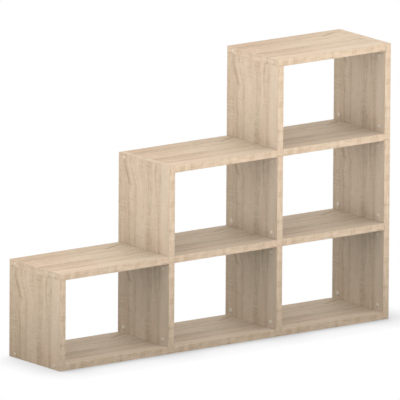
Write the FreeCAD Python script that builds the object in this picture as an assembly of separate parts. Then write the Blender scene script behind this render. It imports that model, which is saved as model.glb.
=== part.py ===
import FreeCAD, Part
import math
import os

# Staircase bookshelf: columns of open cells, one cell higher with each column to the right.
# Short boards are laid in a running bond, so that no board runs through. On even levels each shelf
# covers the upright line at its right end, on odd levels the line at its left end. The corner that
# a level leaves open is filled by an upright that runs past the shelf.
# Millimetres, +Z up. The origin is on the floor under the middle of the shelf, and the front faces -Y.

# Cells and boards
column_names = ("left", "middle", "right")
line_names = ("left_end", "left_inner", "right_inner", "right_end")
level_names = ("bottom", "first", "second", "top")
tier_names = ("lower", "middle", "upper")
cell_width = 450.0
cell_height = 300.0
board_depth = 300.0
board_thickness = 25.0
edge_band_thickness = 1.0

# Rows of fittings
bolt_row_inset = 34.0
cam_inset = 21.0
upright_dowel_inset = 100.0
shelf_dowel_inset = 200.0
bore_wall = 1.0
bore_clearance = 0.2

# Cam: a drum with a side pocket for the bolt head and a cross slot for the screwdriver
cam_diameter = 14.6
cam_floor = 1.8
cam_cover_depth = 3.0
cross_slot_length = 9.0
cross_slot_width = 1.6
cross_slot_depth = 2.0

# Connecting bolts
shank_diameter = 6.6
neck_diameter = 4.0
neck_length = 3.5
ball_diameter = 6.4
ball_length = 4.5
ball_reach = 1.5
thread_diameter = 5.0
bolt_head_diameter = 10.0
bolt_head_height = 3.0
bolt_head_depth = 4.0

# Wooden dowels
dowel_diameter = 7.8
dowel_length = 30.0
dowel_face_wall = 2.5
dowel_end_play = 0.5

# Cover caps
cam_cap_diameter = 17.0
cam_cap_height = 4.2
cam_cap_spigot_length = 2.0
end_cap_diameter = 12.4
end_cap_height = 2.0
end_cap_spigot_length = 3.0
cap_rim_height = 0.8

# Values that follow from the sizes above
steps = len(column_names)
column_pitch = cell_width + board_thickness
level_pitch = cell_height + board_thickness
overall_width = steps * column_pitch + board_thickness
half_thickness = board_thickness / 2
front = -board_depth / 2
rear = board_depth / 2
core_front = front + edge_band_thickness
core_rear = rear - edge_band_thickness
bolt_rows = (front + bolt_row_inset, rear - bolt_row_inset)
upright_dowel_row = front + upright_dowel_inset
shelf_dowel_row = front + shelf_dowel_inset
shank_bore_radius = shank_diameter / 2 + bore_clearance
cam_bore_radius = cam_diameter / 2 + bore_clearance
thread_bore_radius = thread_diameter / 2 + bore_clearance
head_bore_radius = bolt_head_diameter / 2 + bore_clearance
cam_pocket_half = shank_bore_radius + bore_clearance
cam_bore_depth = half_thickness + cam_pocket_half + cam_floor
thread_length = half_thickness - shank_bore_radius - bore_wall
dowel_face_depth = half_thickness - dowel_face_wall
head_bore_depth = bolt_head_depth + bolt_head_height

Vector = FreeCAD.Vector
RIGHT = Vector(1, 0, 0)
LEFT = Vector(-1, 0, 0)
UP = Vector(0, 0, 1)
DOWN = Vector(0, 0, -1)
FORWARD = Vector(0, -1, 0)
full_turn = 360


# The grid of upright lines and shelf levels

def line_x(line):
    """Left face of an upright line."""
    return line * column_pitch - overall_width / 2


def level_z(level):
    """Underside of a shelf level."""
    return level * level_pitch


def first_column(level):
    """The leftmost column that has a shelf on this level."""
    return max(0, level - 1)


def open_line(level):
    """The line whose corner the shelves of this level leave to an upright."""
    return first_column(level) if level % 2 == 0 else steps


def tiers_on(line):
    """The tiers of cells that have an upright on this line."""
    return range(min(line, steps - 1) + 1)


def shelf_ends(level, column):
    """Lowest and highest X of a shelf."""
    shift = board_thickness if level % 2 == 0 else 0.0
    return line_x(column) + shift, line_x(column + 1) + shift


def shelf_name(level, column):
    return f"{level_names[level]}_shelf_{column_names[column]}"


def upright_name(line, tier):
    return f"{line_names[line]}_upright_{tier_names[tier]}"


# Bodies of the boards, their edge bands and what is drilled into them

boards = {}
bores = {}
front_bands = []
rear_bands = []
end_bands = []
fittings = {}


def box(low, high):
    """A box between two opposite corners."""
    return Part.makeBox(high.x - low.x, high.y - low.y, high.z - low.z, low)


def add_board(name, low, high):
    """A board core from corner to corner, with its front and rear edge bands."""
    boards[name] = box(Vector(low.x, core_front, low.z), Vector(high.x, core_rear, high.z))
    bores[name] = []
    front_bands.append(box(Vector(low.x, front, low.z), Vector(high.x, core_front, high.z)))
    rear_bands.append(box(Vector(low.x, core_rear, low.z), Vector(high.x, rear, high.z)))


def band_end(name, end, direction):
    """Cut an open board end back by an edge band and put the band in its place."""
    bound = boards[name].BoundBox
    low = Vector(bound.XMin, core_front, bound.ZMin)
    high = Vector(bound.XMax, core_rear, bound.ZMax)
    if direction == LEFT:
        high.x = end + edge_band_thickness
    elif direction == RIGHT:
        low.x = end - edge_band_thickness
    elif direction == UP:
        low.z = end - edge_band_thickness
    else:
        high.z = end + edge_band_thickness
    band = box(low, high)
    boards[name] = boards[name].cut(band)
    end_bands.append((name, band))


def drill(name, start, direction, radius, depth):
    """Note a round bore for a board, from a point on its surface inwards."""
    bores[name].append(Part.makeCylinder(radius, depth, start, direction))


def place(kind, shape, origin, axis, side):
    """Put a fitting in its group: its own Z goes along axis and its own X along side."""
    turned = FreeCAD.Rotation(side, axis.cross(side), axis, "ZXY")
    piece = shape.copy()
    piece.Placement = FreeCAD.Placement(origin, turned)
    fittings.setdefault(kind, []).append(piece)


# The fittings, each made once about its own axis

def make_cam():
    """A cam drum below a board face at Z = 0, with its pocket open towards +X."""
    height = cam_bore_depth - cam_cover_depth
    drum = Part.makeCylinder(cam_diameter / 2, height, Vector(0, 0, -cam_bore_depth))
    pocket = box(
        Vector(-ball_reach - bore_clearance, -cam_pocket_half, -half_thickness - cam_pocket_half),
        Vector(cam_diameter, cam_pocket_half, -half_thickness + cam_pocket_half),
    )
    along = cross_slot_length / 2
    across = cross_slot_width / 2
    slot_floor = -cam_cover_depth - cross_slot_depth
    slot_x = box(Vector(-along, -across, slot_floor), Vector(along, across, 0))
    slot_y = box(Vector(-across, -along, slot_floor), Vector(across, along, 0))
    return drum.cut([pocket, slot_x, slot_y])


def make_bolt_end(shank_start):
    """Shank, neck and ball of a bolt, from shank_start to the cam axis at Z = cam_inset."""
    ball_start = cam_inset + ball_reach - ball_length
    neck_start = ball_start - neck_length
    shank = Part.makeCylinder(shank_diameter / 2, neck_start - shank_start, Vector(0, 0, shank_start))
    neck = Part.makeCylinder(neck_diameter / 2, neck_length, Vector(0, 0, neck_start))
    ball = Part.makeCylinder(ball_diameter / 2, ball_length, Vector(0, 0, ball_start))
    return [shank, neck, ball]


def make_screw_in_bolt():
    """A bolt whose thread goes down from the joint plane at Z = 0."""
    thread = Part.makeCylinder(thread_diameter / 2, thread_length, Vector(0, 0, -thread_length))
    return thread.fuse(make_bolt_end(0)).removeSplitter()


def make_double_ended_bolt():
    """A bolt with a ball at both ends, centred between two cams a board thickness apart."""
    half = make_bolt_end(-half_thickness)
    other = [piece.mirror(Vector(0, 0, -half_thickness), UP) for piece in half]
    return half[0].fuse(half[1:] + other).removeSplitter()


def make_headed_bolt():
    """A bolt whose head sits in the far face of an upright at Z = -board_thickness."""
    seat = head_bore_depth - board_thickness
    head_start = Vector(0, 0, seat - bolt_head_height)
    head = Part.makeCylinder(bolt_head_diameter / 2, bolt_head_height, head_start)
    return head.fuse(make_bolt_end(seat)).removeSplitter()


def make_dowel(face_depth):
    """A dowel across the joint plane at Z = 0, with face_depth of its bore below it."""
    below = face_depth - dowel_end_play
    return Part.makeCylinder(dowel_diameter / 2, dowel_length, Vector(0, 0, -below))


def make_cap(diameter, height, bore_radius, spigot_length):
    """A domed cap on the face at Z = 0, with a low straight rim and a spigot in the bore below."""
    radius = diameter / 2
    spigot_radius = bore_radius - bore_clearance
    rise = height - cap_rim_height
    dome_radius = (radius**2 + rise**2) / (2 * rise)
    half_angle = math.asin(radius / dome_radius) / 2
    dome_drop = dome_radius * (1 - math.cos(half_angle))
    crown = Vector(0, 0, height)
    shoulder = Vector(dome_radius * math.sin(half_angle), 0, height - dome_drop)
    rim_top = Vector(radius, 0, cap_rim_height)
    outline = (
        rim_top,
        Vector(radius, 0, 0),
        Vector(spigot_radius, 0, 0),
        Vector(spigot_radius, 0, -spigot_length),
        Vector(0, 0, -spigot_length),
        crown,
    )
    edges = [Part.makeLine(start, end) for start, end in zip(outline, outline[1:])]
    edges.append(Part.Arc(crown, shoulder, rim_top).toShape())
    profile = Part.Face(Part.Wire(Part.sortEdges(edges)[0]))
    return profile.revolve(Vector(0, 0, 0), UP, full_turn).Solids[0]


cam = make_cam()
screw_in_bolt = make_screw_in_bolt()
double_ended_bolt = make_double_ended_bolt()
headed_bolt = make_headed_bolt()
face_dowel = make_dowel(dowel_face_depth)
end_dowel = make_dowel(dowel_length / 2 + dowel_end_play)
cam_cap = make_cap(cam_cap_diameter, cam_cap_height, cam_bore_radius, cam_cap_spigot_length)
end_cap = make_cap(end_cap_diameter, end_cap_height, shank_bore_radius, end_cap_spigot_length)


# Joints between the boards

def bore_cam(name, kind, point, outward, to_joint, reach, used):
    """Bore a board for a cam and, from its end, for the bolt, and fit the cam if a bolt reaches it."""
    drill(name, point, -outward, cam_bore_radius, cam_bore_depth)
    axis_point = point - outward * half_thickness
    drill(name, axis_point, to_joint, shank_bore_radius, reach)
    if used:
        place(kind, cam, point, outward, to_joint)


def dowel_joint(name_below, name_above, point, direction, from_face):
    """A dowel from one board into the end of another; direction points into that end."""
    depth_below = dowel_face_depth if from_face else dowel_length / 2 + dowel_end_play
    dowel = face_dowel if from_face else end_dowel
    depth_above = dowel_length - depth_below + 2 * dowel_end_play
    radius = dowel_diameter / 2 + bore_clearance
    drill(name_below, point, -direction, radius, depth_below)
    drill(name_above, point, direction, radius, depth_above)
    place("wooden_dowels", dowel, point, direction, FORWARD)


def upright_ends(line, tier):
    """Lowest and highest Z of an upright, and whether it runs past the shelf at each end."""
    passes_below = tier == 0 and line == open_line(0)
    passes_above = line == open_line(tier + 1)
    low = level_z(tier) if passes_below else level_z(tier) + board_thickness
    high = level_z(tier + 1) + board_thickness if passes_above else level_z(tier + 1)
    return low, high, passes_below, passes_above


def piece_at(line, level, tier):
    """Name of the board that an upright of this tier ends on, at a crossing of line and level."""
    if line == open_line(level):
        return upright_name(line, tier - 1)
    return shelf_name(level, line - 1 if level % 2 == 0 else line)


for level in range(steps + 1):
    low_z = level_z(level)
    for column in range(first_column(level), steps):
        low_x, high_x = shelf_ends(level, column)
        low = Vector(low_x, front, low_z)
        high = Vector(high_x, rear, low_z + board_thickness)
        add_board(shelf_name(level, column), low, high)
    if level % 2 == 0:
        band_end(shelf_name(level, steps - 1), line_x(steps) + board_thickness, RIGHT)
    else:
        band_end(shelf_name(level, first_column(level)), line_x(first_column(level)), LEFT)

for line in range(steps + 1):
    for tier in tiers_on(line):
        low_z, high_z, passes_below, passes_above = upright_ends(line, tier)
        name = upright_name(line, tier)
        low = Vector(line_x(line), front, low_z)
        high = Vector(line_x(line) + board_thickness, rear, high_z)
        add_board(name, low, high)
        if passes_below:
            band_end(name, low_z, DOWN)
        if passes_above and tier + 1 not in tiers_on(line):
            band_end(name, high_z, UP)

# Uprights: cams near the cell corners, drawn to bolts in the boards below and above
for line in range(steps + 1):
    middle_x = line_x(line) + half_thickness
    for tier in tiers_on(line):
        name = upright_name(line, tier)
        low_z, high_z, passes_below, passes_above = upright_ends(line, tier)
        outward = LEFT if tier < line else RIGHT
        face_x = middle_x + outward.x * half_thickness
        ends = (
            (level_z(tier) + board_thickness, low_z, DOWN, passes_below, tier),
            (level_z(tier + 1), high_z, UP, passes_above, tier + 1),
        )
        for corner_z, end_z, to_joint, passes, level in ends:
            cam_z = corner_z - to_joint.z * cam_inset
            cam_points = [Vector(face_x, row, cam_z) for row in bolt_rows]
            for cam_point in cam_points:
                place("upright_cam_caps", cam_cap, cam_point, outward, to_joint)
            if passes:
                for cam_point in cam_points:
                    drill(name, cam_point, -outward, cam_bore_radius, cam_bore_depth)
                continue
            carrier = piece_at(line, level, tier)
            for cam_point in cam_points:
                bore_cam(name, "upright_cams", cam_point, outward, to_joint, cam_inset, True)
                joint = Vector(middle_x, cam_point.y, end_z)
                drill(carrier, joint, to_joint, thread_bore_radius, thread_length)
                place("screw_in_bolts", screw_in_bolt, joint, -to_joint, RIGHT)
            joint = Vector(middle_x, upright_dowel_row, end_z)
            dowel_joint(carrier, name, joint, -to_joint, True)

# Shelves: cams under both ends, bolts to the next shelf or through a passing upright
for level in range(steps + 1):
    middle_z = level_z(level) + half_thickness
    first = first_column(level)
    for column in range(first, steps):
        name = shelf_name(level, column)
        low_x, high_x = shelf_ends(level, column)
        meets_left = column > first or level % 2 == 0
        meets_right = column < steps - 1 or level % 2 == 1
        cell_left = line_x(column) + board_thickness
        cell_right = line_x(column + 1)
        for row in bolt_rows:
            left_cam = Vector(cell_left + cam_inset, row, level_z(level))
            right_cam = Vector(cell_right - cam_inset, row, level_z(level))
            bore_cam(name, "shelf_cams", left_cam, DOWN, LEFT, left_cam.x - low_x, meets_left)
            bore_cam(name, "shelf_cams", right_cam, DOWN, RIGHT, high_x - right_cam.x, meets_right)
            if level > 0:
                place("shelf_cam_caps", cam_cap, left_cam, DOWN, LEFT)
                place("shelf_cam_caps", cam_cap, right_cam, DOWN, RIGHT)
        if column < steps - 1:
            next_cell = cell_right + board_thickness
            for row in bolt_rows:
                place("double_ended_bolts", double_ended_bolt, Vector(next_cell, row, middle_z), RIGHT, UP)
            joint = Vector(high_x, shelf_dowel_row, middle_z)
            dowel_joint(name, shelf_name(level, column + 1), joint, RIGHT, False)

    inward = RIGHT if level % 2 == 0 else LEFT
    tier = max(0, level - 1)
    passing = upright_name(open_line(level), tier)
    joined = shelf_name(level, first if level % 2 == 0 else steps - 1)
    outer_x = line_x(first) if level % 2 == 0 else line_x(steps) + board_thickness
    inner_x = outer_x + inward.x * board_thickness
    for row in bolt_rows:
        outer = Vector(outer_x, row, middle_z)
        drill(passing, outer, inward, shank_bore_radius, board_thickness)
        drill(passing, outer, inward, head_bore_radius, head_bore_depth)
        place("headed_bolts", headed_bolt, Vector(inner_x, row, middle_z), inward, UP)
    dowel_joint(passing, joined, Vector(inner_x, shelf_dowel_row, middle_z), inward, True)

    for outer_x, outward in ((line_x(first), LEFT), (line_x(steps) + board_thickness, RIGHT)):
        for row in bolt_rows:
            place("end_caps", end_cap, Vector(outer_x, row, middle_z), outward, UP)


# One file for each board and one for each group of like pieces

os.makedirs("parts", exist_ok=True)


def export(name, pieces):
    """Write a node from its separate solids."""
    shape = pieces[0] if len(pieces) == 1 else Part.makeCompound(pieces)
    shape.exportStep(f"parts/{name}.step")
    print(name, len(shape.Solids), "solids")


for name, core in boards.items():
    export(name, [core.cut(bores[name])])

export("front_edge_bands", front_bands)
export("rear_edge_bands", rear_bands)
export("end_edge_bands", [band.cut(bores[name]) for name, band in end_bands])
for kind, pieces in fittings.items():
    export(kind, pieces)
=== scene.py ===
import math

import bmesh
import bpy
from mathutils import Matrix, Vector


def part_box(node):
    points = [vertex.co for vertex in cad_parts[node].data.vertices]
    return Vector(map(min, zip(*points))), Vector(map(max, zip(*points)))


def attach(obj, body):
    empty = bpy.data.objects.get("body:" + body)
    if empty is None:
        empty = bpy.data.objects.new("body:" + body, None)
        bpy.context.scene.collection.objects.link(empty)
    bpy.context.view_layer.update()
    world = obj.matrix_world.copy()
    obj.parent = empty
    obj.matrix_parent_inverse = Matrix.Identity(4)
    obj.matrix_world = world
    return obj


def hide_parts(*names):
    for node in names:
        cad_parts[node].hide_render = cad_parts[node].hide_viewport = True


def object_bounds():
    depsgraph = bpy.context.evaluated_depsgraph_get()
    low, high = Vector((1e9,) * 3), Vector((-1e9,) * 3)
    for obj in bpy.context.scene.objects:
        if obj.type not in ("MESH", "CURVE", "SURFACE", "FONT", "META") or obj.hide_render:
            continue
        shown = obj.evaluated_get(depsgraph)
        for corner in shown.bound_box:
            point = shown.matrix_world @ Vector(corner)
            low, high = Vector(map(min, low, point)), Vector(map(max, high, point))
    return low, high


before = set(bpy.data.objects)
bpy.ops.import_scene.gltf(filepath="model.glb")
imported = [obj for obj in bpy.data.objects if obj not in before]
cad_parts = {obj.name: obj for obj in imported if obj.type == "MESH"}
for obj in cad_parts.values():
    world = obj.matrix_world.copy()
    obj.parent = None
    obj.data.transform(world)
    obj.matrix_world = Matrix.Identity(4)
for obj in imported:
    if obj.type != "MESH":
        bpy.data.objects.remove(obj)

cad_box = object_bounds()


# Boards
# Nine shelves and nine uprights of pale oak melamine chipboard, 25 mm thick, sawn from
# pressed sheets that all carry one printed oak figure. Each is drilled for its dowels, bolts
# and cams, and is butted to its neighbours with the grain running along its length.
arris = 0.0004
merge_distance = 1e-6
along_x, along_y, along_z = 0, 1, 2


def srgb(red, green, blue):
    """The linear colour of three screen values from 0 to 255."""
    def linear(value):
        share = value / 255
        return share / 12.92 if share <= 0.04045 else ((share + 0.055) / 1.055) ** 2.4
    return (linear(red), linear(green), linear(blue), 1)


def add_piece(name, shape, material, slot_name, *nodes):
    """An object at the origin that rides on the bookcase and stands for CAD nodes."""
    mesh = bpy.data.meshes.new(name)
    shape.to_mesh(mesh)
    shape.free()
    mesh.materials.append(material)
    piece = bpy.data.objects.new(name, mesh)
    bpy.context.scene.collection.objects.link(piece)
    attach(piece, "root")
    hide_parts(*nodes)
    return piece


def add_block(shape, low, high):
    """A box between two corners, as its edges."""
    made = bmesh.ops.create_cube(shape, size=1)["verts"]
    bmesh.ops.scale(shape, vec=high - low, verts=made)
    bmesh.ops.translate(shape, vec=(low + high) / 2, verts=made)
    return list({edge for vert in made for edge in vert.link_edges})


def round_edges(shape, edges, radius, segments):
    """Rounds the given edges."""
    bmesh.ops.bevel(shape, geom=edges, offset=radius, offset_type="OFFSET", segments=segments,
                    profile=0.5, affect="EDGES", material=-1)


def lay_grain(shape, faces, start, grain_axis, thin_axis):
    """Maps faces in metres: U along the grain from the start, V across it from the rear."""
    layer = shape.loops.layers.uv["grain"]
    across_axis = along_x + along_y + along_z - grain_axis - thin_axis
    for face in faces:
        facing = max(range(3), key=lambda axis: abs(face.normal[axis]))
        for loop in face.loops:
            reach = start - loop.vert.co
            length = reach[thin_axis] if facing == grain_axis else reach[grain_axis]
            width = reach[thin_axis] if facing == across_axis else reach[across_axis]
            loop[layer].uv = (length, width)


def solid_copy(node):
    """A closed copy of a CAD node's loose triangles."""
    copy = bmesh.new()
    copy.from_mesh(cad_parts[node].data)
    bmesh.ops.remove_doubles(copy, verts=copy.verts, dist=merge_distance)
    return copy


def drilled(blank, node):
    """What the drilled CAD solid keeps of a rounded blank."""
    bodies = []
    for shape in (blank, solid_copy(node)):
        mesh = bpy.data.meshes.new("blank")
        shape.to_mesh(mesh)
        shape.free()
        bodies.append(bpy.data.objects.new("blank", mesh))
        bpy.context.scene.collection.objects.link(bodies[-1])
    cut = bodies[0].modifiers.new("drill", "BOOLEAN")
    cut.operation = "INTERSECT"
    cut.solver = "EXACT"
    cut.object = bodies[1]
    made = bodies[0].evaluated_get(bpy.context.evaluated_depsgraph_get())
    result = bmesh.new()
    result.from_mesh(made.to_mesh())
    made.to_mesh_clear()
    for body in bodies:
        bpy.data.meshes.remove(body.data)
    result.loops.layers.uv.new("grain")
    result.normal_update()
    return result


def add_node(tree, kind, inputs=None, **settings):
    """A shader node with its settings, and its inputs set or linked."""
    node = tree.nodes.new(kind)
    for name, value in settings.items():
        setattr(node, name, value)
    for name, value in (inputs or {}).items():
        if isinstance(value, bpy.types.NodeSocket):
            tree.links.new(value, node.inputs[name])
        else:
            node.inputs[name].default_value = value
    return node


def math_of(tree, operation, first, second, third=0.0):
    """The result of one sum on two or three values."""
    return add_node(tree, "ShaderNodeMath", {0: first, 1: second, 2: third},
                    operation=operation).outputs[0]


def range_of(tree, share, least, most):
    """A share from 0 to 1, spread over a range."""
    return math_of(tree, "MULTIPLY_ADD", share, most - least, least)


def mix_of(tree, share, first, second, blend_type="MIX"):
    """Two colours mixed by a share from 0 to 1."""
    return add_node(tree, "ShaderNodeMix", {0: share, 6: first, 7: second}, data_type="RGBA",
                    blend_type=blend_type).outputs[2]


def noise_of(tree, place, scales, detail, roughness=0.5):
    """Noise from 0 to 1, with a scale on each axis."""
    scaled = add_node(tree, "ShaderNodeMapping", {"Vector": place, "Scale": scales}).outputs[0]
    return add_node(tree, "ShaderNodeTexNoise", {"Vector": scaled, "Scale": 1.0, "Detail": detail,
                                                 "Roughness": roughness}).outputs[0]


def swing_of(tree, place, scales, detail, roughness=0.5):
    """Noise from -0.5 to 0.5, with a scale on each axis."""
    return math_of(tree, "SUBTRACT", noise_of(tree, place, scales, detail, roughness), 0.5)


def ramp_of(tree, value, stops, interpolation="LINEAR"):
    """Colours or greys set along a value from 0 to 1."""
    ramp = add_node(tree, "ShaderNodeValToRGB", {"Fac": value})
    ramp.color_ramp.interpolation = interpolation
    elements = ramp.color_ramp.elements
    while len(elements) < len(stops):
        elements.new(1.0)
    for element, (position, colour) in zip(elements, stops):
        element.position = position
        element.color = colour if isinstance(colour, tuple) else (colour, colour, colour, 1)
    return ramp.outputs["Color"]


def new_material(name, **fixed):
    """A material, its tree and its Principled shader, with values that hold all over."""
    material = bpy.data.materials.new(name)
    material.use_nodes = True
    shader = material.node_tree.nodes["Principled BSDF"]
    for socket, value in fixed.items():
        shader.inputs[socket.replace("_", " ")].default_value = value
    return material, material.node_tree, shader


oak = bpy.data.node_groups.new("printed_oak", "ShaderNodeTree")
for side, name, kind in (
        ("INPUT", "Place", "Vector"), ("INPUT", "Tone", "Float"), ("INPUT", "Blotches", "Float"),
        ("OUTPUT", "Color", "Color"), ("OUTPUT", "Roughness", "Float"), ("OUTPUT", "Height", "Float")):
    oak.interface.new_socket(name=name, in_out=side, socket_type="NodeSocket" + kind)
oak_inputs = oak.nodes.new("NodeGroupInput").outputs
place = oak_inputs["Place"]
split = add_node(oak, "ShaderNodeSeparateXYZ", {0: place})
grain_length, grain_width = split.outputs[0], split.outputs[1]

# The figure bends round a knot near the end that a board's map starts from
board_depth = 0.3
board_length = 0.475
most_bend = 0.06
rear_bend_end, front_bend_start = 0.06, 0.24
sway_range, ripple_range = 0.016, 0.004
along_share = math_of(oak, "DIVIDE", grain_length, board_length)
rear_bend = ramp_of(oak, along_share, [
    (0.0, 0.92), (0.085, 0.88), (0.21, 0.47), (0.30, 0.50), (0.63, 0.52), (0.93, 0.30)], "CARDINAL")
front_bend = ramp_of(oak, along_share, [
    (0.0, 0.35), (0.13, 0.43), (0.27, 0.50), (0.63, 0.52), (0.93, 0.60)], "CARDINAL")
front_share = add_node(oak, "ShaderNodeMapRange", {
    "Value": grain_width, "From Min": rear_bend_end, "From Max": front_bend_start}).outputs[0]
bend_change = math_of(oak, "SUBTRACT", front_bend, rear_bend)
bend = math_of(oak, "MULTIPLY_ADD", bend_change, front_share, rear_bend)
bent = math_of(oak, "MULTIPLY_ADD", math_of(oak, "SUBTRACT", bend, 0.5), most_bend, grain_width)
bent = math_of(oak, "MULTIPLY_ADD", swing_of(oak, place, (7.0, 12.0, 1.0), 1.0), sway_range, bent)
bent = math_of(oak, "MULTIPLY_ADD", swing_of(oak, place, (22.0, 26.0, 1.0), 1.0), ripple_range, bent)
ring_place = add_node(oak, "ShaderNodeCombineXYZ", {"X": grain_length, "Y": bent}).outputs[0]

# The rear third and the far end are darker, and dark growth lines come and go
across_share = math_of(oak, "DIVIDE", bent, board_depth)
shade_across = ramp_of(oak, across_share, [
    (0.0, 0.40), (0.08, 0.40), (0.20, 0.41), (0.30, 0.45), (0.40, 0.49), (0.50, 0.46), (0.60, 0.40),
    (0.66, 0.41), (0.74, 0.47), (0.82, 0.52), (0.90, 0.63), (0.95, 0.59), (1.0, 0.57)])
shade_along = ramp_of(oak, along_share, [(0.0, 0.50), (0.55, 0.49), (0.80, 0.44), (1.0, 0.44)])
lines = ramp_of(oak, across_share, [
    (0.0, 0.50), (0.12, 0.50), (0.135, 0.40), (0.15, 0.50), (0.285, 0.56), (0.305, 0.50), (0.323, 0.40),
    (0.345, 0.52), (0.45, 0.55), (0.55, 0.52), (0.575, 0.42), (0.60, 0.42), (0.63, 0.50), (0.68, 0.56),
    (0.70, 0.50), (0.717, 0.40), (0.735, 0.52), (0.765, 0.55), (0.795, 0.30), (0.82, 0.38), (0.84, 0.52),
    (0.89, 0.55), (1.0, 0.52)])
streak = ramp_of(oak, across_share, [
    (0.175, 0.0), (0.205, 1.0), (0.222, 0.8), (0.24, 0.1), (0.25, 0.4), (0.265, 0.0)])
streak_ends = ramp_of(oak, along_share, [
    (0.0, 0.55), (0.085, 0.62), (0.12, 0.95), (0.20, 0.95), (0.235, 0.18), (0.30, 0.28), (0.60, 0.30),
    (0.72, 0.24), (0.88, 0.26), (1.0, 0.5)])
coming = range_of(oak, noise_of(oak, ring_place, (12.0, 24.0, 1.0), 2.0), -0.4, 2.2)
streak = math_of(oak, "MULTIPLY", math_of(oak, "MULTIPLY", streak, streak_ends),
                 range_of(oak, coming, 0.65, 1.0))

# Broad bands, gathered fibre bundles, short dashes and open pores run with the grain
bands = swing_of(oak, ring_place, (2.5, 38.0, 1.0), 2.0)
gathered = range_of(oak, noise_of(oak, ring_place, (2.0, 15.0, 1.0), 1.0), -0.8, 2.6)
bundles = math_of(oak, "MULTIPLY", swing_of(oak, ring_place, (4.0, 120.0, 1.0), 2.0), gathered)
dashes = swing_of(oak, ring_place, (26.0, 340.0, 1.0), 3.0, 0.65)
pores = ramp_of(oak, noise_of(oak, ring_place, (55.0, 1200.0, 1.0), 1.0), [
    (0.58, 0.0), (0.68, 1.0)])

# Saw marks cross the grain in patches, and blotches lie over it
saw_patch = ramp_of(oak, noise_of(oak, place, (8.0, 9.0, 1.0), 1.0), [(0.42, 0.2), (0.60, 1.0)])
saw_cut = math_of(oak, "MULTIPLY", swing_of(oak, place, (330.0, 20.0, 1.0), 2.0), saw_patch)
blotches = swing_of(oak, ring_place, (38.0, 30.0, 1.0), 1.0)

# All layers add up to a tone, the tone picks the colour, and slow patches shift its hue
ground = math_of(oak, "ADD", math_of(oak, "ADD", shade_across, shade_along), oak_inputs["Tone"])
tone = math_of(oak, "MULTIPLY_ADD", blotches, oak_inputs["Blotches"], ground)
growth = math_of(oak, "MULTIPLY", math_of(oak, "SUBTRACT", lines, 0.5), coming)
for layer, share in ((growth, 0.8), (streak, -0.33), (bands, 0.46), (bundles, 0.36),
                     (dashes, 0.57), (saw_cut, 0.62), (pores, -0.20)):
    tone = math_of(oak, "MULTIPLY_ADD", layer, share, tone)
print_colour = ramp_of(oak, tone, [
    (0.0, srgb(164, 137, 107)), (0.25, srgb(203, 179, 150)), (0.5, srgb(228, 205, 178)),
    (0.75, srgb(236, 215, 190)), (1.0, srgb(243, 226, 204))])
hue_patches = ramp_of(oak, noise_of(oak, ring_place, (5.0, 30.0, 1.0), 2.0), [
    (0.35, (1.015, 0.98, 0.955, 1)), (0.65, (0.985, 1.003, 0.995, 1))])
# The hue drifts along the board: the far end is pinker, as in the print, and the near end is greyer and
# bluer, partly as painted shade where the shelves meet the next upright
print_hue_and_painted_shade_along = ramp_of(oak, along_share, [
    (0.0, (0.996, 1.002, 1.015, 1)), (0.45, (0.998, 1.001, 1.01, 1)),
    (0.85, (1.022, 0.988, 0.986, 1))])
least_patches = 0.55
patch_strength = math_of(oak, "ADD", oak_inputs["Blotches"], least_patches)
for tint, strength in ((hue_patches, patch_strength), (print_hue_and_painted_shade_along, 1.0)):
    print_colour = mix_of(oak, strength, print_colour, tint, "MULTIPLY")
oak_outputs = {
    "Color": print_colour,
    "Roughness": math_of(oak, "MULTIPLY_ADD", dashes, 0.16, 0.60),
    "Height": math_of(oak, "MULTIPLY_ADD", saw_cut, 0.5, math_of(oak, "SUBTRACT", dashes, pores))}
add_node(oak, "NodeGroupOutput", oak_outputs)

# Light that has bounced off the oak counts as from this grey
bounce_grey = (0.37, 0.37, 0.37, 1)


def oak_material(name, shift, shrink, tone, blotches, relief_depth):
    """Printed oak on a piece's grain map, shifted and shrunk as on another sheet."""
    material, tree, shader = new_material(name, Specular_IOR_Level=0.22)
    grain = add_node(tree, "ShaderNodeUVMap", uv_map="grain").outputs[0]
    moved = add_node(tree, "ShaderNodeMapping", {
        "Vector": grain, "Location": shift, "Scale": shrink}).outputs[0]
    figure = add_node(tree, "ShaderNodeGroup", node_tree=oak)
    figure.inputs["Tone"].default_value = tone
    figure.inputs["Blotches"].default_value = blotches
    tree.links.new(moved, figure.inputs["Place"])
    bounce = add_node(tree, "ShaderNodeLightPath").outputs["Is Diffuse Ray"]
    seen_colour = mix_of(tree, bounce, figure.outputs["Color"], bounce_grey)
    tree.links.new(seen_colour, shader.inputs["Base Color"])
    tree.links.new(figure.outputs["Roughness"], shader.inputs["Roughness"])
    relief = add_node(tree, "ShaderNodeBump", {"Height": figure.outputs["Height"], "Strength": 0.25,
                                               "Distance": relief_depth})
    tree.links.new(relief.outputs[0], shader.inputs["Normal"])
    return material


board_oak = oak_material("board_oak", shift=(0, 0, 0), shrink=(1, 1, 1), tone=-0.485,
                         blotches=0.05, relief_depth=0.0002)
shelf_names = ["bottom_shelf_left", "bottom_shelf_middle", "bottom_shelf_right", "first_shelf_left",
               "first_shelf_middle", "first_shelf_right", "second_shelf_middle", "second_shelf_right",
               "top_shelf_right"]
upright_names = ["left_end_upright_lower", "left_inner_upright_lower", "left_inner_upright_middle",
                 "right_inner_upright_lower", "right_inner_upright_middle", "right_inner_upright_upper",
                 "right_end_upright_lower", "right_end_upright_middle", "right_end_upright_upper"]
grain_axes = {name: along_x for name in shelf_names} | {name: along_z for name in upright_names}
for name, grain_axis in grain_axes.items():
    low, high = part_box(name)
    blank = bmesh.new()
    round_edges(blank, add_block(blank, low, high), arris, segments=2)
    board = drilled(blank, name)
    lay_grain(board, board.faces, high, grain_axis, along_x + along_z - grain_axis)
    add_piece(name + "_board", board, board_oak, "oak_board", name)


# Edge bands
# Strips of 1 mm plastic with the same oak print, glued to the front and rear edges of every
# board and to the seven board ends that show, then trimmed to a small radius.
band_radius = 0.0007
touch = 0.0002


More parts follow.
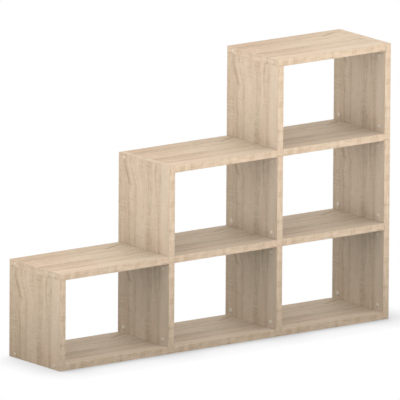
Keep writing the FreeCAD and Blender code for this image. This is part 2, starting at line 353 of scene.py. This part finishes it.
def solids_of(node):
    """The points of each separate solid in a CAD node."""
    copy = solid_copy(node)
    waiting = set(copy.verts)
    solids = []
    while waiting:
        reached = [waiting.pop()]
        for vert in reached:
            for edge in vert.link_edges:
                other = edge.other_vert(vert)
                if other in waiting:
                    waiting.remove(other)
                    reached.append(other)
        solids.append([vert.co.copy() for vert in reached])
    copy.free()
    return solids


def corners(points):
    """The lowest and highest corner of some points."""
    return tuple(Vector([pick(point[axis] for point in points) for axis in range(3)])
                 for pick in (min, max))


def add_strip(shape, low, high, outward_axis, outer_face, grain_axis):
    """A strip with the edges of its outer face trimmed round."""
    before = set(shape.faces)
    edges = add_block(shape, low, high)
    outer_edges = [edge for edge in edges if all(
        abs(vert.co[outward_axis] - outer_face) < merge_distance for vert in edge.verts)]
    round_edges(shape, outer_edges, band_radius, segments=3)
    shape.normal_update()
    lay_grain(shape, set(shape.faces) - before, high, grain_axis, outward_axis)


def new_strips():
    """An empty shape that has a grain map."""
    shape = bmesh.new()
    shape.loops.layers.uv.new("grain")
    return shape


band_oak = oak_material("band_oak", shift=(-0.73, 0.12, 0), shrink=(1.2, 1, 1), tone=-0.51,
                        blotches=0.36, relief_depth=0.00015)
end_boxes = [corners(points) for points in solids_of("end_edge_bands")]
end_strips = new_strips()
banded = {}
for name, grain_axis in grain_axes.items():
    low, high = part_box(name)
    thin_axis = along_x + along_z - grain_axis
    for end_low, end_high in end_boxes:
        misfit = abs(end_low[thin_axis] - low[thin_axis]) + abs(end_high[thin_axis] - high[thin_axis])
        level = misfit < touch
        if level and abs(end_high[grain_axis] - low[grain_axis]) < touch:
            low[grain_axis] = end_low[grain_axis]
            add_strip(end_strips, end_low, end_high, grain_axis, end_low[grain_axis], along_y)
        elif level and abs(end_low[grain_axis] - high[grain_axis]) < touch:
            high[grain_axis] = end_high[grain_axis]
            add_strip(end_strips, end_low, end_high, grain_axis, end_high[grain_axis], along_y)
    banded[name] = low, high
add_piece("end_edge_bands_trimmed", end_strips, band_oak, "oak_edge_band", "end_edge_bands")
front_face, rear_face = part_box("front_edge_bands")[0].y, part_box("rear_edge_bands")[1].y
front_strips, rear_strips = new_strips(), new_strips()
for name, (low, high) in banded.items():
    grain_axis = grain_axes[name]
    add_strip(front_strips, Vector((low.x, front_face, low.z)), Vector((high.x, low.y, high.z)),
              along_y, front_face, grain_axis)
    add_strip(rear_strips, Vector((low.x, high.y, low.z)), Vector((high.x, rear_face, high.z)),
              along_y, rear_face, grain_axis)
add_piece("front_edge_bands_trimmed", front_strips, band_oak, "oak_edge_band", "front_edge_bands")
add_piece("rear_edge_bands_trimmed", rear_strips, band_oak, "oak_edge_band", "rear_edge_bands")


# Dowels
# Plain round beech pegs that are glued into bores across each joint and line the boards up.
# They are cut from straight-grained rod and stay as the CAD solids.
def finish_node(node, material):
    """Gives a CAD node its material."""
    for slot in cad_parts[node].material_slots:
        slot.material = material


beech, tree, shader = new_material("beech", Specular_IOR_Level=0.3)
beech_place = add_node(tree, "ShaderNodeTexCoord").outputs["Object"]
beech_fibres = noise_of(tree, beech_place, (900.0, 900.0, 900.0), 3.0, 0.6)
beech_colour = ramp_of(tree, beech_fibres, [
    (0.3, srgb(196, 158, 120)), (0.7, srgb(222, 188, 152))])
beech_roughness = range_of(tree, beech_fibres, 0.55, 0.75)
beech_relief = add_node(tree, "ShaderNodeBump", {
    "Height": beech_fibres, "Strength": 0.3, "Distance": 0.0002})
tree.links.new(beech_colour, shader.inputs["Base Color"])
tree.links.new(beech_roughness, shader.inputs["Roughness"])
tree.links.new(beech_relief.outputs[0], shader.inputs["Normal"])
finish_node("wooden_dowels", beech)


# Bolts and cams
# Plated steel connecting bolts and die-cast zinc cams that pull the boards together. The
# cams under the bottom shelves stay open to the floor. All are the CAD solids.
def metal_material(name, dark, light, scale, least_roughness, depth):
    """A cast or plated metal with fine mottling."""
    material, tree, shader = new_material(name, Metallic=1.0)
    place = add_node(tree, "ShaderNodeTexCoord").outputs["Object"]
    mottle = noise_of(tree, place, (scale, scale, scale), 4.0, 0.6)
    tree.links.new(ramp_of(tree, mottle, [(0.3, dark), (0.7, light)]), shader.inputs["Base Color"])
    roughness = range_of(tree, mottle, least_roughness, least_roughness + 0.25)
    tree.links.new(roughness, shader.inputs["Roughness"])
    relief = add_node(tree, "ShaderNodeBump", {"Height": mottle, "Strength": 0.3, "Distance": depth})
    tree.links.new(relief.outputs[0], shader.inputs["Normal"])
    return material


cast_zinc = metal_material("cast_zinc", srgb(142, 143, 145), srgb(182, 182, 182), scale=700.0,
                           least_roughness=0.32, depth=0.0003)
plated_steel = metal_material("plated_steel", srgb(176, 174, 168), srgb(208, 206, 200), scale=1500.0,
                              least_roughness=0.18, depth=0.0001)
for node in ("upright_cams", "shelf_cams"):
    finish_node(node, cast_zinc)
for node in ("screw_in_bolts", "double_ended_bolts", "headed_bolts"):
    finish_node(node, plated_steel)


# Cover caps
# Small domes of pale beige plastic. The wide ones press into the cam bores on the uprights
# and under the shelves, and the narrow ones close the bolt holes in the outer ends.
cap_steps = 32
dome_rings = 6
rim_round = 0.0003


def cap_outline(points, low, high, axis):
    """A CAD cap's profile as reach and height above its plug's tail, and which way it faces."""
    middle = (low + high) / 2
    across = [side for side in range(3) if side != axis]
    reaches = [math.hypot(*(point[side] - middle[side] for side in across)) for point in points]
    heights = [point[axis] - low[axis] for point in points]
    length = high[axis] - low[axis]
    ends = [max(reach for reach, height in zip(reaches, heights)
                if abs(height - end) < merge_distance) for end in (0, length)]
    faces_up = ends[0] > ends[1]
    if not faces_up:
        heights = [length - height for height in heights]
    radius, plug_radius = max(reaches), max(ends)
    rim = [height for reach, height in zip(reaches, heights) if reach > radius - touch]
    seat, rim_top = min(rim), max(rim)
    rise = length - rim_top
    dome_radius = (radius ** 2 + rise ** 2) / (2 * rise)
    dome_angle = math.asin(radius / dome_radius)
    turns = [dome_angle * ring / dome_rings for ring in range(dome_rings + 1)]
    dome = [(dome_radius * math.sin(turn), length - dome_radius * (1 - math.cos(turn)))
            for turn in turns]
    return dome + [(radius, seat), (plug_radius, seat), (plug_radius, 0), (0, 0)], faces_up


def spin_cap(outline):
    """A cap about the Z axis, with its rim rounded a little."""
    cap = bmesh.new()
    verts = [cap.verts.new((reach, 0, height)) for reach, height in outline]
    edges = [cap.edges.new(pair) for pair in zip(verts, verts[1:])]
    bmesh.ops.spin(cap, geom=verts + edges, cent=(0, 0, 0), axis=(0, 0, 1), angle=2 * math.pi,
                   steps=cap_steps, use_merge=True)
    bmesh.ops.remove_doubles(cap, verts=cap.verts, dist=merge_distance)
    bmesh.ops.recalc_face_normals(cap, faces=cap.faces)
    rim_height = outline[dome_rings][1]
    rim = [edge for edge in cap.edges
           if all(abs(vert.co.z - rim_height) < merge_distance for vert in edge.verts)]
    round_edges(cap, rim, rim_round, segments=2)
    for face in cap.faces:
        face.smooth = True
    return cap


cap_plastic, tree, shader = new_material("cap_plastic", Specular_IOR_Level=0.35)
cap_place = add_node(tree, "ShaderNodeTexCoord").outputs["Object"]
cap_grain = noise_of(tree, cap_place, (1800.0, 1800.0, 1800.0), 2.0)
cap_tint = noise_of(tree, cap_place, (60.0, 60.0, 60.0), 2.0)
cap_colour = ramp_of(tree, cap_tint, [(0.35, srgb(231, 213, 191)), (0.65, srgb(238, 221, 200))])
cap_relief = add_node(tree, "ShaderNodeBump", {
    "Height": cap_grain, "Strength": 0.2, "Distance": 0.0001})
tree.links.new(cap_colour, shader.inputs["Base Color"])
tree.links.new(range_of(tree, cap_grain, 0.38, 0.58), shader.inputs["Roughness"])
tree.links.new(cap_relief.outputs[0], shader.inputs["Normal"])
for node in ("upright_cam_caps", "shelf_cam_caps", "end_caps"):
    caps = bmesh.new()
    for points in solids_of(node):
        low, high = corners(points)
        axis = min(range(3), key=lambda side: high[side] - low[side])
        outline, faces_up = cap_outline(points, low, high, axis)
        tail = (low + high) / 2
        tail[axis] = low[axis] if faces_up else high[axis]
        facing = Vector([0, 0, 0])
        facing[axis] = 1 if faces_up else -1
        cap = spin_cap(outline)
        turn = facing.to_track_quat("Z", "Y").to_matrix().to_4x4()
        bmesh.ops.transform(cap, matrix=Matrix.Translation(tail) @ turn, verts=cap.verts)
        one_cap = bpy.data.meshes.new("cap")
        cap.to_mesh(one_cap)
        cap.free()
        caps.from_mesh(one_cap)
        bpy.data.meshes.remove(one_cap)
    add_piece(node + "_domed", caps, cap_plastic, "cap_plastic", node)


# Floor and light
# A studio floor that reaches a little past the bookcase, in a white light tent. The floor looks
# white with a soft painted shadow towards the front, sends little light back up, and is
# clear from below.
floor_margin = 0.54
floor_gap = 0.0003
resting_reach = 4 * floor_gap
floor_return = (0.09, 0.09, 0.09, 1)
shadow_reach = 0.145
shadow_depth = 0.68
shadow_lean = (-0.10, 0.62, 0.78)
shadow_samples = 16
tent_level = 1.0
tent_front_and_rear = 0.25
tent_overhead = -0.10


def seen_in_picture(tree):
    """1 for rays that show a surface straight, by mirror or through glass, else 0."""
    path = add_node(tree, "ShaderNodeLightPath").outputs
    return math_of(tree, "MAXIMUM", path["Is Camera Ray"],
                   math_of(tree, "MAXIMUM", path["Is Glossy Ray"], path["Is Transmission Ray"]))


floor_mesh = bmesh.new()
bmesh.ops.create_grid(floor_mesh, x_segments=1, y_segments=1, size=0.5)
low, high = cad_box
floor_size = (high.x - low.x + 2 * floor_margin, high.y - low.y + 2 * floor_margin, 1)
bmesh.ops.scale(floor_mesh, vec=floor_size, verts=floor_mesh.verts)
bmesh.ops.translate(floor_mesh, vec=(0, 0, low.z - floor_gap), verts=floor_mesh.verts)
floor_data = bpy.data.meshes.new("floor")
floor_mesh.to_mesh(floor_data)
floor_mesh.free()
floor = bpy.data.objects.new("floor", floor_data)
bpy.context.scene.collection.objects.link(floor)
floor_paint = bpy.data.materials.new("floor_paint")
floor_paint.use_nodes = True
tree = floor_paint.node_tree
tree.nodes.clear()
# The shadow is painted into the floor's glow from a short occlusion test, leaned towards the rear so
# that the painted shade falls to the front
lean = add_node(tree, "ShaderNodeCombineXYZ", dict(zip("XYZ", shadow_lean))).outputs[0]
contact = add_node(tree, "ShaderNodeAmbientOcclusion", {"Distance": shadow_reach, "Normal": lean},
                   samples=shadow_samples).outputs["AO"]
painted_floor_shadow = range_of(tree, contact, 1 - shadow_depth, 1)
floor_glow_with_painted_shadow = add_node(tree, "ShaderNodeEmission", {"Color": painted_floor_shadow}).outputs[0]
dark = add_node(tree, "ShaderNodeBsdfDiffuse", {"Color": floor_return}).outputs[0]
floor_look = add_node(tree, "ShaderNodeMixShader", {
    0: seen_in_picture(tree), 1: dark, 2: floor_glow_with_painted_shadow}).outputs[0]

# Rays that leave the undersides of the boards, which lie on the floor, pass through it too
from_below = add_node(tree, "ShaderNodeNewGeometry").outputs["Backfacing"]
ray_length = add_node(tree, "ShaderNodeLightPath").outputs["Ray Length"]
resting = math_of(tree, "LESS_THAN", ray_length, resting_reach)
unseen = math_of(tree, "MAXIMUM", from_below, resting)
clear = add_node(tree, "ShaderNodeBsdfTransparent").outputs[0]
floor_look = add_node(tree, "ShaderNodeMixShader", {0: unseen, 1: floor_look, 2: clear}).outputs[0]
add_node(tree, "ShaderNodeOutputMaterial", {"Surface": floor_look})
floor_data.materials.append(floor_paint)

# The tent is a little stronger from the front and the rear, and weaker from above
scene = bpy.context.scene
scene.world = bpy.data.worlds.new("light_tent")
scene.world.use_nodes = True
tree = scene.world.node_tree
towards = add_node(tree, "ShaderNodeTexCoord").outputs["Generated"]
heading = add_node(tree, "ShaderNodeSeparateXYZ", {0: towards}).outputs
forward, upward = heading[1], heading[2]
front_and_rear = math_of(tree, "MULTIPLY", forward, forward)
glow = math_of(tree, "MULTIPLY_ADD", front_and_rear, tent_front_and_rear, tent_level)
glow = math_of(tree, "MULTIPLY_ADD", upward, tent_overhead, glow)
strength = add_node(tree, "ShaderNodeMix", {0: seen_in_picture(tree), 2: glow, 3: 1.0}).outputs[0]
tent = tree.nodes["Background"]
tent.inputs["Color"].default_value = (1, 1, 1, 1)
tree.links.new(strength, tent.inputs["Strength"])
scene.view_settings.view_transform = "Standard"


# Camera
# A very long lens from the front left, a little above, so that parallel edges of the boards
# stay nearly parallel in the picture.
camera_lens = 1600
camera_distance = 62.723
camera_target = Vector((-0.00313, 0, 0.49698))
azimuth, elevation, roll = (math.radians(angle) for angle in (36.8611, 12.4698, 0.3849))
camera_data = bpy.data.cameras.new("camera")
camera_data.lens = camera_lens
camera_data.clip_end = 2 * camera_distance
camera = bpy.data.objects.new("camera", camera_data)
scene.collection.objects.link(camera)
turned = (Matrix.Rotation(-azimuth, 4, "Z") @ Matrix.Rotation(math.pi / 2 - elevation, 4, "X")
          @ Matrix.Rotation(roll, 4, "Z"))
camera.matrix_world = (Matrix.Translation(camera_target) @ turned
                       @ Matrix.Translation((0, 0, camera_distance)))
scene.camera = camera
